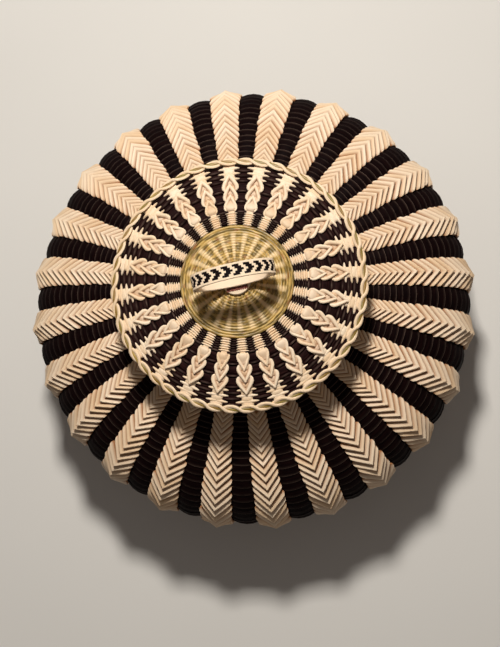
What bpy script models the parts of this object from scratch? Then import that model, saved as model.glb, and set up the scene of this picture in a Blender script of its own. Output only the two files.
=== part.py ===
"""Lidded splint basket of natural and dyed ash with columns of folded points.

Metres, +Z up, origin at the centre of the base. The basket is an urn with 24
columns of folded points between 24 dyed panels. A domed lid of the same
pattern sits on the neck, with a collar inside the mouth, a braided rim and
an oval ring handle tied to its centre.
"""

import math

import bmesh
import bpy

# Gap left between pieces that touch
GAP = 0.0003
BAND_GAP = 0.0005              # more where two curved straps lie on each other

# Body: an oblate urn, its two halves quarter ellipses that meet at the widest row
COLUMNS = 24
COLUMN_SHARE = 0.54            # share of the pitch that a column of points covers
WIDEST_R = 0.1535              # wall at the widest row
WIDEST_Z = 0.070               # height of the widest row above the base
BASE_R = 0.082
NECK_R = 0.0765
SHOULDER_SEMI_HEIGHT = 0.0674  # half-height of the ellipse of the upper half
NECK_HEIGHT = 0.024
WALL = 0.0024
BASE_THICK = 0.0022
PANEL_BULGE = 0.0137           # bow of a dyed panel, as a share of the radius
BULGE_FADE = 0.004             # height in which the bow dies out on the neck

# Folded points of the body
TOP_ROW_PITCH = 0.0030
ROW_PITCH = 0.0058
PITCH_RUN = 0.045              # length of wall in which the pitch grows
POINT_RISE = 0.62              # height of a point over its half-width
TUCK_SHARE = 0.55              # height of the tucked end over the raised end
POINT_LEAD = 0.73              # how far a tip runs ahead, over its half-width
TUCK_BACK = 0.0006
COLUMN_TOP_MARGIN = 0.0015     # plain wall between the neck and the first point
COLUMN_FOOT_MARGIN = 0.032     # plain wall between the last point and the base
SIDE_MARGIN = 0.0003

# Mouth hoops
HOOP_HEIGHT = 0.007
OUTER_HOOP_THICK = 0.0020
INNER_HOOP_THICK = 0.0018

# Lid
LID_OVERHANG = 0.0065          # edge of the braided rim beyond the neck
LID_TURN = math.radians(-1.8)  # its columns stand this far from the body's
LID_DOME = 0.012
LID_THICK = 0.0022
BRAID_TUBE_R = 0.0021
RIM_HOOP_THICK = 0.0024
RIM_HOOP_HEIGHT = 0.0055
RIM_HOOP_INSET = 0.0006        # hoop's face inside the edge of the braid
COLLAR_THICK = 0.0016
COLLAR_LENGTH = 0.016
COLLAR_PLAY = 0.0004
CENTRE_SHARE = 0.454           # sweetgrass disc, as a share of the lid's radius
CENTRE_THICK = 0.0010

# Folded points of the lid
LID_POINTS_START = 0.575       # as a share of the lid's radius
LID_POINT_PITCH = 0.0845       # as a share of the lid's radius
LID_POINT_ROWS = 3
LID_POINT_SHARE = 0.66
LID_POINT_RISE = 0.60
LID_POINT_LEAD = 0.55

# Handle
HANDLE_WIDTH = 0.053
HANDLE_HEIGHT = 0.030
HANDLE_STRAP = 0.009
HANDLE_THICK = 0.0018
HANDLE_TURN = math.radians(5.2)
BAND_THICK = 0.0008
BAND_WIDTH = 0.0094
BAND_END = math.radians(-22.0)  # the band ends this far below the ring's middle
TIE_LENGTH = 0.0106
TIE_WIDTH = 0.0136              # its near edge shows past the strap
TIE_HEIGHT = 0.0022

# Mesh steps
RING_STEPS = 40
PANEL_STEPS = 3                # across a dyed panel, outside
WALL_STATIONS_OUT = 6          # on each half of the outside of the wall
WALL_STATIONS_IN = 5           # on each half of the inside
DOME_STEPS = 5
OVAL_STEPS = 36

# Sizes that follow from the ones above
PITCH_ANGLE = 2 * math.pi / COLUMNS
HALF_COLUMN = PITCH_ANGLE * COLUMN_SHARE / 2
LOWER_SEMI_HEIGHT = WIDEST_Z / math.sqrt(1 - (BASE_R / WIDEST_R) ** 2)
SHOULDER_Z = WIDEST_Z + SHOULDER_SEMI_HEIGHT * math.sqrt(1 - (NECK_R / WIDEST_R) ** 2)
MOUTH_Z = SHOULDER_Z + NECK_HEIGHT
RING_FLAT = math.cos(math.pi / RING_STEPS)
COLUMN_FLAT = math.cos(HALF_COLUMN)


def clear_of(radius):
    """Radius of a polygon ring whose flats clear what is inside it."""
    return (radius + GAP) / RING_FLAT


MOUTH_HOOP_IN = clear_of(NECK_R)
MOUTH_HOOP_OUT = MOUTH_HOOP_IN + OUTER_HOOP_THICK
INNER_HOOP_OUT = (NECK_R - WALL) * COLUMN_FLAT - GAP
INNER_HOOP_IN = INNER_HOOP_OUT - INNER_HOOP_THICK
COLLAR_OUT = INNER_HOOP_IN - COLLAR_PLAY
COLLAR_IN = COLLAR_OUT - COLLAR_THICK
LID_R = NECK_R + LID_OVERHANG
CENTRE_R = LID_R * CENTRE_SHARE
RIM_HOOP_OUT = LID_R - RIM_HOOP_INSET
RIM_HOOP_IN = RIM_HOOP_OUT - RIM_HOOP_THICK
LID_SHELL_R = RIM_HOOP_IN - GAP


def dome_rise(radius):
    """Height of the lid's outer surface above its edge."""
    return LID_DOME * (1 - (radius / LID_SHELL_R) ** 2)


LID_EDGE_Z = MOUTH_Z + GAP + LID_THICK - dome_rise(MOUTH_HOOP_OUT)
CENTRE_TOP_Z = LID_EDGE_Z + LID_DOME + GAP + CENTRE_THICK
TIE_Z = CENTRE_TOP_Z + GAP
HANDLE_FOOT_Z = TIE_Z + TIE_HEIGHT + GAP

# Colours as sRGB shares
NATURAL_ASH = (0.95, 0.85, 0.66)
DYED_ASH = (0.10, 0.05, 0.06)
SWEETGRASS = (0.62, 0.54, 0.30)
DARK_THREAD = (0.30, 0.17, 0.12)


def clear_scene():
    for old in list(bpy.data.objects):
        bpy.data.objects.remove(old, do_unlink=True)


def linear(channel):
    """One sRGB channel as a linear value."""
    if channel <= 0.04045:
        return channel / 12.92
    return ((channel + 0.055) / 1.055) ** 2.4


def add_object(name, bm, colour, smooth=True):
    """Turn a bmesh into a named object with its own material."""
    bmesh.ops.recalc_face_normals(bm, faces=bm.faces)
    mesh = bpy.data.meshes.new(name)
    bm.to_mesh(mesh)
    bm.free()
    if smooth:
        mesh.shade_smooth()
        mesh.set_sharp_from_angle(angle=math.radians(30))
    material = bpy.data.materials.new(name + "_finish")
    material.use_nodes = True
    shader = material.node_tree.nodes["Principled BSDF"]
    shader.inputs["Base Color"].default_value = [linear(c) for c in colour] + [1.0]
    shader.inputs["Roughness"].default_value = 0.6
    shader.inputs["Metallic"].default_value = 0.0
    mesh.materials.append(material)
    made = bpy.data.objects.new(name, mesh)
    bpy.context.scene.collection.objects.link(made)
    return made


def turned(name, section, colour, closed=True):
    """Spin a section of (radius, height) points round Z.

    A closed section makes a ring. An open one starts and ends on the axis
    and makes a disc or a dome.
    """
    bm = bmesh.new()
    verts = [bm.verts.new((r, 0.0, z)) for r, z in section]
    edges = [bm.edges.new(pair) for pair in zip(verts, verts[1:])]
    if closed:
        edges.append(bm.edges.new((verts[-1], verts[0])))
    bmesh.ops.spin(bm, geom=verts + edges, cent=(0, 0, 0), axis=(0, 0, 1),
                   dvec=(0, 0, 0), angle=2 * math.pi, steps=RING_STEPS,
                   use_merge=False, use_duplicate=False)
    bmesh.ops.remove_doubles(bm, verts=bm.verts, dist=0.00001)
    return add_object(name, bm, colour)


def box_section(inner, outer, low, high):
    """Corners of a hoop's rectangular section."""
    return [(inner, low), (outer, low), (outer, high), (inner, high)]


def ellipse_point(semi_height, angle):
    """Point (radius, height from the widest row) on the wall's ellipse."""
    return WIDEST_R * math.cos(angle), semi_height * math.sin(angle)


def wall_meridian(stations):
    """Outline of the wall from the mouth down to the base, as (radius, height)."""
    shoulder = math.acos(NECK_R / WIDEST_R)
    foot = math.acos(BASE_R / WIDEST_R)
    line = [(NECK_R, MOUTH_Z), (NECK_R, SHOULDER_Z + BULGE_FADE)]
    for k in range(stations + 1):
        r, z = ellipse_point(SHOULDER_SEMI_HEIGHT, shoulder * (1 - k / stations))
        line.append((r, WIDEST_Z + z))
    for k in range(1, stations + 1):
        r, z = ellipse_point(LOWER_SEMI_HEIGHT, foot * k / stations)
        line.append((r, WIDEST_Z - z))
    return line


def inset_line(line, depth):
    """The same outline moved inward by depth, square to itself."""
    moved = []
    for k, (r, z) in enumerate(line):
        before = line[max(k - 1, 0)]
        after = line[min(k + 1, len(line) - 1)]
        dr = after[0] - before[0]
        dz = after[1] - before[1]
        length = math.hypot(dr, dz)
        moved.append((r + dz / length * depth, z - dr / length * depth))
    moved[0] = (NECK_R - depth, MOUTH_Z)
    moved[-1] = (BASE_R - depth, 0.0)
    return moved


def bulge_at(height):
    """Bow of the dyed panels: full on the body, none on the neck."""
    fade = (SHOULDER_Z + BULGE_FADE - height) / BULGE_FADE
    return PANEL_BULGE * min(max(fade, 0.0), 1.0)


def lobed_ring(bm, radius, height, bulge, panel_steps):
    """One ring of the wall: flat behind each column, bowed on each panel."""
    verts = []
    panel = PITCH_ANGLE - 2 * HALF_COLUMN
    for k in range(COLUMNS):
        start = k * PITCH_ANGLE - HALF_COLUMN
        verts.append((start, radius))
        for step in range(panel_steps):
            share = step / panel_steps
            bow = 4 * share * (1 - share) * bulge
            verts.append((start + 2 * HALF_COLUMN + share * panel, radius * (1 + bow)))
    return [bm.verts.new((r * math.cos(a), r * math.sin(a), height)) for a, r in verts]


def join_rings(bm, rings):
    """Faces between rings that have as many points as each other."""
    for ring, following in zip(rings, rings[1:]):
        for k in range(len(ring)):
            n = (k + 1) % len(ring)
            bm.faces.new((ring[k], ring[n], following[n], following[k]))


def join_edges(bm, outer, inner):
    """The flat edge of the wall, from the outer ring to the plainer inner one."""
    for k in range(COLUMNS):
        first = k * (PANEL_STEPS + 1)
        panel = [outer[(first + 1 + step) % len(outer)] for step in range(PANEL_STEPS + 1)]
        near = inner[2 * k]
        middle = inner[2 * k + 1]
        far = inner[(2 * k + 2) % len(inner)]
        bm.faces.new((outer[first], outer[first + 1], middle, near))
        bm.faces.new(panel + [far, middle])


def make_wall():
    """The woven wall, one closed shell from the base round the mouth and back."""
    bm = bmesh.new()
    outside = wall_meridian(WALL_STATIONS_OUT)
    inside = inset_line(wall_meridian(WALL_STATIONS_IN), WALL)
    outer = [lobed_ring(bm, r, z, bulge_at(z), PANEL_STEPS) for r, z in outside]
    inner = [lobed_ring(bm, r, z, 0.0, 1) for r, z in inside]
    join_rings(bm, outer)
    join_rings(bm, inner)
    join_edges(bm, outer[0], inner[0])
    join_edges(bm, outer[-1], inner[-1])
    return add_object("wall_weave", bm, DYED_ASH, smooth=False)


class Track:
    """A smooth outline that can be read at any distance along it."""

    def __init__(self, line):
        self.line = line
        self.marks = [0.0]
        for first, second in zip(line, line[1:]):
            self.marks.append(self.marks[-1] + math.dist(first, second))

    @property
    def length(self):
        return self.marks[-1]

    def at(self, distance):
        """Point (radius, height) and outward normal at a distance."""
        k = 0
        while k < len(self.marks) - 2 and self.marks[k + 1] < distance:
            k += 1
        (r0, z0), (r1, z1) = self.line[k], self.line[k + 1]
        span = self.marks[k + 1] - self.marks[k]
        share = (distance - self.marks[k]) / span
        normal = ((z0 - z1) / span, (r1 - r0) / span)
        return (r0 + (r1 - r0) * share, z0 + (z1 - z0) * share), normal

    def raised(self, distance, flat, rise, side=0.0):
        """Point above the flat behind a column, before it is turned round Z."""
        (r, z), (nr, nz) = self.at(distance)
        return (r * flat + nr * rise, side, z + nz * rise)


def point_column(name, track, marks, share_angle, rise_share, lead_share):
    """A column of folded points that overlap like shingles.

    marks are the distances down the track where each row starts. Every row
    is a small roof: its tucked end lies low under the row above, and its
    raised end stands off and runs ahead of its sides to a tip.
    """
    bm = bmesh.new()
    flat = math.cos(share_angle)
    half = {}
    for mark in marks:
        (r, _), _ = track.at(mark)
        half[mark] = r * math.sin(share_angle) - SIDE_MARGIN

    def corner(mark, side):
        return bm.verts.new(track.raised(mark, flat, GAP, side * half[mark]))

    left = [corner(mark, 1) for mark in marks]
    right = [corner(mark, -1) for mark in marks]
    rows = len(marks) - 1
    tucked = []
    tips = []
    for row in range(rows):
        start = marks[row]
        end = marks[row + 1]
        low = GAP + rise_share * TUCK_SHARE * half[start]
        high = GAP + rise_share * half[end]
        tuck_at = start + lead_share * half[start] - TUCK_BACK
        tip_at = end + lead_share * half[end]
        tucked.append(bm.verts.new(track.raised(tuck_at, flat, low)))
        tips.append(bm.verts.new(track.raised(tip_at, flat, high)))
    bm.faces.new((left[0], right[0], tucked[0]))
    bm.faces.new((left[-1], tips[-1], right[-1]))
    for row in range(rows):
        for edge in (left, right):
            bm.faces.new((edge[row], tucked[row], edge[row + 1]))
            bm.faces.new((tucked[row], tips[row], edge[row + 1]))
            if row + 1 < rows:
                bm.faces.new((edge[row + 1], tips[row], tucked[row + 1]))
        bm.faces.new((left[row], left[row + 1], right[row + 1], right[row]))
    return add_object(name, bm, NATURAL_ASH, smooth=False)


def body_marks(track):
    """Distances down the wall where the rows of body points start."""
    mark = NECK_HEIGHT + COLUMN_TOP_MARGIN
    marks = [mark]
    while mark < track.length - COLUMN_FOOT_MARGIN:
        grown = min((mark - marks[0]) / PITCH_RUN, 1.0)
        mark += TOP_ROW_PITCH + (ROW_PITCH - TOP_ROW_PITCH) * grown
        marks.append(mark)
    return marks


def copy_round(first, name, turn):
    """A further column that shares the first one's mesh, turned about Z."""
    made = bpy.data.objects.new(name, first.data)
    made.rotation_euler = (0.0, 0.0, turn)
    bpy.context.scene.collection.objects.link(made)
    return made


def column_name(stem, number):
    return f"{stem}_{number:02d}"


def make_body_columns():
    track = Track(wall_meridian(12 * WALL_STATIONS_OUT))
    first = point_column(column_name("point_column", 1), track, body_marks(track),
                         HALF_COLUMN, POINT_RISE, POINT_LEAD)
    for k in range(1, COLUMNS):
        copy_round(first, column_name("point_column", k + 1), k * PITCH_ANGLE)


def dome_line(radii, lift):
    """Points on the lid's dome at the radii, lifted by a height."""
    return [(r, LID_EDGE_Z + dome_rise(r) + lift) for r in radii]


def lid_track():
    """The lid's outer surface from its centre out to its edge."""
    steps = 12 * DOME_STEPS
    return Track(dome_line([LID_SHELL_R * k / steps for k in range(steps + 1)], 0.0))


def make_lid_columns():
    track = lid_track()
    marks = [LID_R * (LID_POINTS_START + LID_POINT_PITCH * k)
             for k in range(LID_POINT_ROWS + 1)]
    half_angle = PITCH_ANGLE * LID_POINT_SHARE / 2
    first = point_column(column_name("lid_points", 1), track, marks,
                         half_angle, LID_POINT_RISE, LID_POINT_LEAD)
    first.rotation_euler = (0.0, 0.0, LID_TURN)
    for k in range(1, COLUMNS):
        copy_round(first, column_name("lid_points", k + 1), k * PITCH_ANGLE + LID_TURN)


def make_base():
    outer = (BASE_R - WALL) * COLUMN_FLAT - GAP
    section = [(0.0, 0.0), (outer, 0.0), (outer, BASE_THICK), (0.0, BASE_THICK)]
    return turned("base_disc", section, NATURAL_ASH, closed=False)


def make_mouth_hoops():
    low = MOUTH_Z - HOOP_HEIGHT
    turned("mouth_hoop_outer", box_section(MOUTH_HOOP_IN, MOUTH_HOOP_OUT, low, MOUTH_Z),
           NATURAL_ASH)
    turned("mouth_hoop_inner", box_section(INNER_HOOP_IN, INNER_HOOP_OUT, low, MOUTH_Z),
           NATURAL_ASH)


def make_lid_shell():
    radii = [LID_SHELL_R * k / DOME_STEPS for k in range(DOME_STEPS + 1)]
    section = dome_line(radii, 0.0) + dome_line(reversed(radii), -LID_THICK)
    return turned("lid_weave", section, DYED_ASH, closed=False)


def make_lid_centre():
    steps = DOME_STEPS - 1
    radii = [CENTRE_R * k / steps for k in range(steps + 1)]
    section = dome_line(radii, GAP + CENTRE_THICK) + dome_line(reversed(radii), GAP)
    return turned("lid_centre", section, SWEETGRASS, closed=False)


def make_lid_rim():
    top = LID_EDGE_Z
    turned("lid_rim_hoop", box_section(RIM_HOOP_IN, RIM_HOOP_OUT, top - RIM_HOOP_HEIGHT, top),
           NATURAL_ASH)
    sides = 6
    centre_r = LID_R - BRAID_TUBE_R
    centre_z = top + GAP + BRAID_TUBE_R
    braid = []
    for k in range(sides):
        turn = 2 * math.pi * k / sides
        braid.append((centre_r + BRAID_TUBE_R * math.cos(turn),
                      centre_z + BRAID_TUBE_R * math.sin(turn)))
    turned("lid_rim_braid", braid, NATURAL_ASH)


def make_lid_collar():
    high = LID_EDGE_Z + dome_rise(COLLAR_OUT) - LID_THICK - GAP
    low = MOUTH_Z - COLLAR_LENGTH
    turned("lid_collar", box_section(COLLAR_IN, COLLAR_OUT, low, high), NATURAL_ASH)


def oval_point(angle, offset):
    """Point on the handle's oval, offset square to it, as (across, height)."""
    a = HANDLE_WIDTH / 2 - BAND_THICK - BAND_GAP
    b = (HANDLE_HEIGHT - BAND_THICK - BAND_GAP) / 2
    across = math.cos(angle)
    up = math.sin(angle)
    length = math.hypot(b * across, a * up)
    x = a * across + offset * b * across / length
    z = b * up + offset * a * up / length
    return x, z + HANDLE_FOOT_Z + b


def strap(name, angles, inner, outer, width, closed, colour):
    """A flat strap bent along the oval, made as one face strip and extruded."""
    bm = bmesh.new()
    rows = []
    for angle in angles:
        pair = [oval_point(angle, offset) for offset in (inner, outer)]
        rows.append([bm.verts.new((x, -width / 2, z)) for x, z in pair])
    following = rows[1:] + rows[:1] if closed else rows[1:]
    faces = [bm.faces.new((a[0], a[1], b[1], b[0])) for a, b in zip(rows, following)]
    grown = bmesh.ops.extrude_face_region(bm, geom=faces)
    moved = [item for item in grown["geom"] if isinstance(item, bmesh.types.BMVert)]
    bmesh.ops.translate(bm, verts=moved, vec=(0.0, width, 0.0))
    made = add_object(name, bm, colour)
    made.rotation_euler = (0.0, 0.0, HANDLE_TURN)
    return made


def make_handle():
    ring = [2 * math.pi * k / OVAL_STEPS for k in range(OVAL_STEPS)]
    strap("handle_ring", ring, -HANDLE_THICK, 0.0, HANDLE_STRAP, True, NATURAL_ASH)
    steps = OVAL_STEPS // 2 + 4
    sweep = math.pi - 2 * BAND_END
    arc = [BAND_END + sweep * k / steps for k in range(steps + 1)]
    strap("handle_band", arc, BAND_GAP, BAND_GAP + BAND_THICK, BAND_WIDTH, False, NATURAL_ASH)


def make_tie():
    """The wrapped thread pad that ties the ring to the lid's centre."""
    bm = bmesh.new()
    bmesh.ops.create_cube(bm, size=1.0)
    bmesh.ops.scale(bm, verts=bm.verts, vec=(TIE_LENGTH, TIE_WIDTH, TIE_HEIGHT))
    bmesh.ops.translate(bm, verts=bm.verts, vec=(0.0, 0.0, TIE_Z + TIE_HEIGHT / 2))
    upright = [e for e in bm.edges if abs(e.verts[0].co.z - e.verts[1].co.z) > TIE_HEIGHT / 2]
    bmesh.ops.bevel(bm, geom=upright, offset=TIE_HEIGHT / 2, segments=3, affect="EDGES")
    made = add_object("handle_tie", bm, DARK_THREAD)
    made.rotation_euler = (0.0, 0.0, HANDLE_TURN)
    return made


def main():
    clear_scene()
    make_base()
    make_wall()
    make_mouth_hoops()
    make_body_columns()
    make_lid_shell()
    make_lid_centre()
    make_lid_columns()
    make_lid_rim()
    make_lid_collar()
    make_handle()
    make_tie()


main()
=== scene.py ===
"""Looks of the lidded ash splint basket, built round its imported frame.

Natural ash is folded into columns of points, dyed ash makes the panels
between them, twined sweetgrass fills the centre of the lid, and a plaited
strap covers the ring handle.
"""

import random
from itertools import pairwise
from math import acos, copysign, cos, dist, hypot, pi, radians, sin, sqrt

import bmesh
import bpy
from mathutils import Matrix, Vector


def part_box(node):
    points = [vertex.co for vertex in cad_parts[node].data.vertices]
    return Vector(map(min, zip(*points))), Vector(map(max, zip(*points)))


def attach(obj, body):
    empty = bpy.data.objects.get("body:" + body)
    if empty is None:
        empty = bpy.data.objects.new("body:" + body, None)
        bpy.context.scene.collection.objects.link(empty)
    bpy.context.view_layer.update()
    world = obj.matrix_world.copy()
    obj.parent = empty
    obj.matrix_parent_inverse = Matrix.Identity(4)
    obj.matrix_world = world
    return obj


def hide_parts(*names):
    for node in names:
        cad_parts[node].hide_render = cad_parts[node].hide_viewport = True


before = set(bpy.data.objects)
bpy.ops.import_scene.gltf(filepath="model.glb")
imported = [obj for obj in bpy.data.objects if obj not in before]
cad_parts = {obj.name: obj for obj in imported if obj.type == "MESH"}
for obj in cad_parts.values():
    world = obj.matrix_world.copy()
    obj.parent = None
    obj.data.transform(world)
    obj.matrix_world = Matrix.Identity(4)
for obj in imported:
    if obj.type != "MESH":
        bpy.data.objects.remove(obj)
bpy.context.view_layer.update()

# Sizes of the basket, in metres
COLUMNS = 24
PITCH = 2 * pi / COLUMNS
HALF_COLUMN = PITCH * 0.54 / 2
WIDEST_R = 0.1535
WIDEST_Z = 0.070
BASE_R = 0.082
NECK_R = 0.0765
SHOULDER_SEMI_HEIGHT = 0.0674
WALL = 0.0024
MOUTH_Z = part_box("wall_weave")[1].z
LID_THICK = 0.0022
LID_DOME = 0.012
LID_SHELL_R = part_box("lid_weave")[1].x
LID_EDGE_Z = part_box("lid_weave")[1].z - LID_DOME

# Rows of folded points, and the slats and weavers beside and under them
COLUMN_TOP_MARGIN = 0.0015
COLUMN_FOOT_MARGIN = 0.032
PANEL_FOOT_MARGIN = 0.0065
TOP_ROW_PITCH = 0.0030
ROW_PITCH = 0.0058
PITCH_RUN = 0.045
TIP_LEAD = 0.73
POINT_LEAD = 1.05
POINT_RISE = 0.62
PANEL_BULGE = 0.0137
BULGE_START = 0.004
HALF_SLAT = PITCH / 2 - HALF_COLUMN + radians(0.75)
SLAT_SEAT = 0.0004
FOOT_ROW = 0.0034
NECK_ROWS = 12
INSIDE_ROWS = 72
WALL_SEAT = 0.0007
WEAVE_RELIEF = 0.0006
WEFT_DIP = 0.25
BASE_HUB_R = 0.006
BASE_ROWS = 18
BASE_WEFT_TONE = 0.16
LASHING_WIDTH = 0.0034
LASHING_THICK = 0.0005

# Lid: its columns stand a little turned from the body's
LID_TURN = radians(-1.8)
LID_ROWS = 26
GRASS_R = 0.0365
GRASS_ROUNDS = 19
GRASS_RIDE = 0.00034
GRASS_WIDTH = 0.00186
GRASS_THICK = 0.00100
LADDER_PITCH = 0.00148
LADDER_ROWS = 6
LEAF_TIPS = (0.0570, 0.0641, 0.0712)
LEAF_RISES = (0.0042, 0.0052, 0.0054)
LEAF_HALF = radians(5.0)
LEAF_LENGTH = 0.0106
LEAF_NECK = 0.009
LEAF_SEAT = 0.004
KNOT_RINGS = (0.0457, 0.0528, 0.0602)
WIDE_RINGS = (0.0493, 0.0565, 0.0637)
VALLEY_RINGS = (0.0482, 0.0517, 0.0552, 0.0589, 0.0626, 0.0663)
BARB_RINGS = (0.0690, 0.0727, 0.0764)
TOOTH_RINGS = (0.0671, 0.0709, 0.0746, 0.0782)
RIM_Z = (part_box("lid_rim_braid")[0].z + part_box("lid_rim_braid")[1].z) / 2
RIM_CENTRE_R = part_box("lid_rim_braid")[1].x - 0.0018
RIM_TILT = radians(18.0)
RIM_SWING = 0.00180
RIM_CROSSING = 0.00060

# Handle
HANDLE_TURN = radians(5.2)
HANDLE_FOOT_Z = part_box("handle_ring")[0].z
HANDLE_WIDTH = 0.053
HANDLE_HEIGHT = 0.030
BAND_GAP = 0.0005
HANDLE_THICK = 0.0018
BAND_THICK = 0.0008
STRAP_WIDTH = 0.009
BAND_WIDTH = 0.0094
BAND_START = radians(-22.0)
BAND_RUN = pi - 2 * BAND_START
BAND_CELLS = 72
BAND_EDGE_CELLS = 26
FOOT_PLATE_R = 0.0094
THREAD_R = 0.00062
THREAD_SPREAD = 0.0062

# Camera, fitted to the tips, the rim and the handle of the photographed basket
CAMERA_DISTANCE = 0.80
CAMERA_TILT = radians(9.8)
CAMERA_AZIMUTH = radians(297.8)
CAMERA_ROLL = radians(325.4)
CAMERA_SIDE = -0.0007
CAMERA_RISE = -0.0137
FOCAL_PIXELS = 1107.0
IMAGE_HEIGHT = 647
SENSOR_HEIGHT = 36.0

SEED = 24
UP = (0.0, 0.0, 1.0)


# Nodes and finishes

def add_node(tree, kind, values=None, **settings):
    """A node with its settings, and values or links for its inputs."""
    made = tree.nodes.new(kind)
    for key, setting in settings.items():
        setattr(made, key, setting)
    for key, value in (values or {}).items():
        if isinstance(value, Value):
            value = value.socket
        elif isinstance(value, bpy.types.Node):
            value = value.outputs[0]
        if isinstance(value, bpy.types.NodeSocket):
            tree.links.new(value, made.inputs[key])
        else:
            made.inputs[key].default_value = value
    return made


class Value:
    """A shader value. Its operators add Math nodes."""

    def __init__(self, finish, socket):
        self.finish = finish
        self.socket = socket

    def __add__(self, other):
        return self.finish.math("ADD", self, other)

    def __sub__(self, other):
        return self.finish.math("SUBTRACT", self, other)

    def __mul__(self, other):
        return self.finish.math("MULTIPLY", self, other)

    def __rsub__(self, other):
        return self.finish.math("SUBTRACT", other, self)

    __radd__ = __add__
    __rmul__ = __mul__


class Finish:
    """A material, and the nodes that vary it."""

    def __init__(self, name, roughness, specular):
        self.material = bpy.data.materials.new(name)
        self.material.use_nodes = True
        self.tree = self.material.node_tree
        self.shader = self.tree.nodes["Principled BSDF"]
        self.shader.inputs["Roughness"].default_value = roughness
        self.shader.inputs["Specular IOR Level"].default_value = specular

    def add(self, kind, values=None, outlet=0, **settings):
        """Add a node, and give one of its outputs."""
        return Value(self, add_node(self.tree, kind, values, **settings).outputs[outlet])

    def math(self, operation, *operands):
        return self.add("ShaderNodeMath", dict(enumerate(operands)), operation=operation)

    def smooth(self, value, low, high):
        """0 below low, 1 above high, smooth between."""
        return self.add("ShaderNodeMapRange", {"Value": value, "From Min": low, "From Max": high},
                        interpolation_type="SMOOTHSTEP")

    def attribute(self, name):
        return self.add("ShaderNodeAttribute", outlet="Fac", attribute_name=name)

    def parts(self, vector):
        """The X, Y and Z of a vector."""
        split = add_node(self.tree, "ShaderNodeSeparateXYZ", {0: vector})
        return [Value(self, part) for part in split.outputs]

    def place(self):
        """The X, Y and Z of the object's own coordinates."""
        return self.parts(self.add("ShaderNodeTexCoord", outlet="Object"))

    def polar(self):
        """Angle and radius round the basket's axis, and the height."""
        x, y, z = self.place()
        return self.math("ARCTAN2", y, x), self.math("SQRT", x * x + y * y), z

    def ribbon(self):
        """The piece's own U, along the ribbon, and V, across it."""
        return self.parts(self.add("ShaderNodeUVMap", outlet="UV", uv_map="ribbon"))[:2]

    def noise(self, x, y, z, scale=1.0):
        vector = self.add("ShaderNodeCombineXYZ", {"X": x, "Y": y, "Z": z})
        return self.add("ShaderNodeTexNoise", {"Vector": vector, "Scale": scale})

    def drawn_noise(self, along, across):
        """Noise drawn out round the basket's axis."""
        angle, radius, z = self.polar()
        return self.noise(angle * along, radius * across, z * across)

    def mix(self, factor, first, second):
        """A colour between two, by a factor."""
        return self.add("ShaderNodeMix", {0: factor, 6: first, 7: second}, 2, data_type="RGBA")

    def feed(self, label, value):
        self.tree.links.new(value.socket, self.shader.inputs[label])

    def finished(self, base, height, distance, strength=0.5):
        """Give the material its base colour and its bumps."""
        self.feed("Base Color", base)
        self.feed("Normal", self.add("ShaderNodeBump", {
            "Height": height, "Distance": distance, "Strength": strength}))
        return self.material


def colour(red, green, blue):
    """A colour written in sRGB shares, as Blender's linear colour."""
    linear = [share / 12.92 if share <= 0.04045 else ((share + 0.055) / 1.055) ** 2.4
              for share in (red, green, blue)]
    return (*linear, 1.0)


ASH_PALE = colour(0.955, 0.868, 0.755)
ASH_WARM = colour(0.915, 0.790, 0.635)
ASH_DEEP = colour(0.790, 0.615, 0.450)
# Painted shade: the brown that creases and hollows of natural ash are darkened towards
ASH_PAINTED_SHADE = colour(0.640, 0.410, 0.225)
DYE_DARK = colour(0.045, 0.015, 0.017)
DYE_BROWN = colour(0.090, 0.034, 0.032)
LID_DYE_DARK = colour(0.105, 0.050, 0.050)
LID_DYE_BROWN = colour(0.190, 0.106, 0.098)
# Pale dyed ash: real wear, and a painted highlight on slat edges and knots
DYE_WEAR_AND_HIGHLIGHT = colour(0.420, 0.350, 0.310)
GRASS_GOLD = colour(0.765, 0.625, 0.325)
# Pale straw of the sweetgrass, partly a painted highlight
GRASS_PALE = colour(0.960, 0.845, 0.650)
GRASS_OLIVE = colour(0.430, 0.345, 0.115)
RIM_OLIVE = colour(0.510, 0.435, 0.150)
GRASS_BROWN = colour(0.600, 0.335, 0.165)
THREAD_BROWN = colour(0.720, 0.430, 0.370)
THREAD_DARK = colour(0.400, 0.205, 0.170)


def ash_colour(finish, grain, patch, tone):
    """Cream ash: patches of warmer wood, fine darker grain, a tone for each splint."""
    body = finish.mix(finish.smooth(patch * 0.5 + tone * 0.5, 0.25, 0.90), ASH_PALE, ASH_WARM)
    return finish.mix(finish.smooth(grain, 0.58, 0.80) * 0.35, body, ASH_DEEP)


def dye_colour(finish, grain, wear_and_highlight, dark=DYE_DARK, brown=DYE_BROWN):
    """Dyed ash: nearly black, browner along the grain, paler where it is worn and where a
    highlight is painted.
    """
    body = finish.mix(finish.smooth(grain, 0.35, 0.75), dark, brown)
    return finish.mix(wear_and_highlight, body, DYE_WEAR_AND_HIGHLIGHT)


def make_folded_ash():
    """Natural ash on folded splints, its grain along each ribbon, darkened towards a brown by
    painted shade where a piece stores it.
    """
    finish = Finish("folded_natural_ash", 0.55, 0.35)
    along, across = finish.ribbon()
    tone = finish.attribute("tone")
    grain = finish.noise(along * 3.0, across * 42.0, tone * 50.0)
    patch = finish.noise(*finish.place(), scale=45.0)
    body = ash_colour(finish, grain, patch, tone)
    shaded = finish.mix(finish.attribute("painted_shade") * 0.95, body, ASH_PAINTED_SHADE)
    return finish.finished(shaded, grain, 0.00012)


def make_hoop_ash():
    """Natural ash bent round the basket, its grain round the axis."""
    finish = Finish("bent_natural_ash", 0.55, 0.35)
    grain = finish.drawn_noise(6.0, 1600.0)
    natural = ash_colour(finish, grain, finish.drawn_noise(3.0, 60.0), 0.4)
    return finish.finished(natural, grain, 0.00012)


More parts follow.
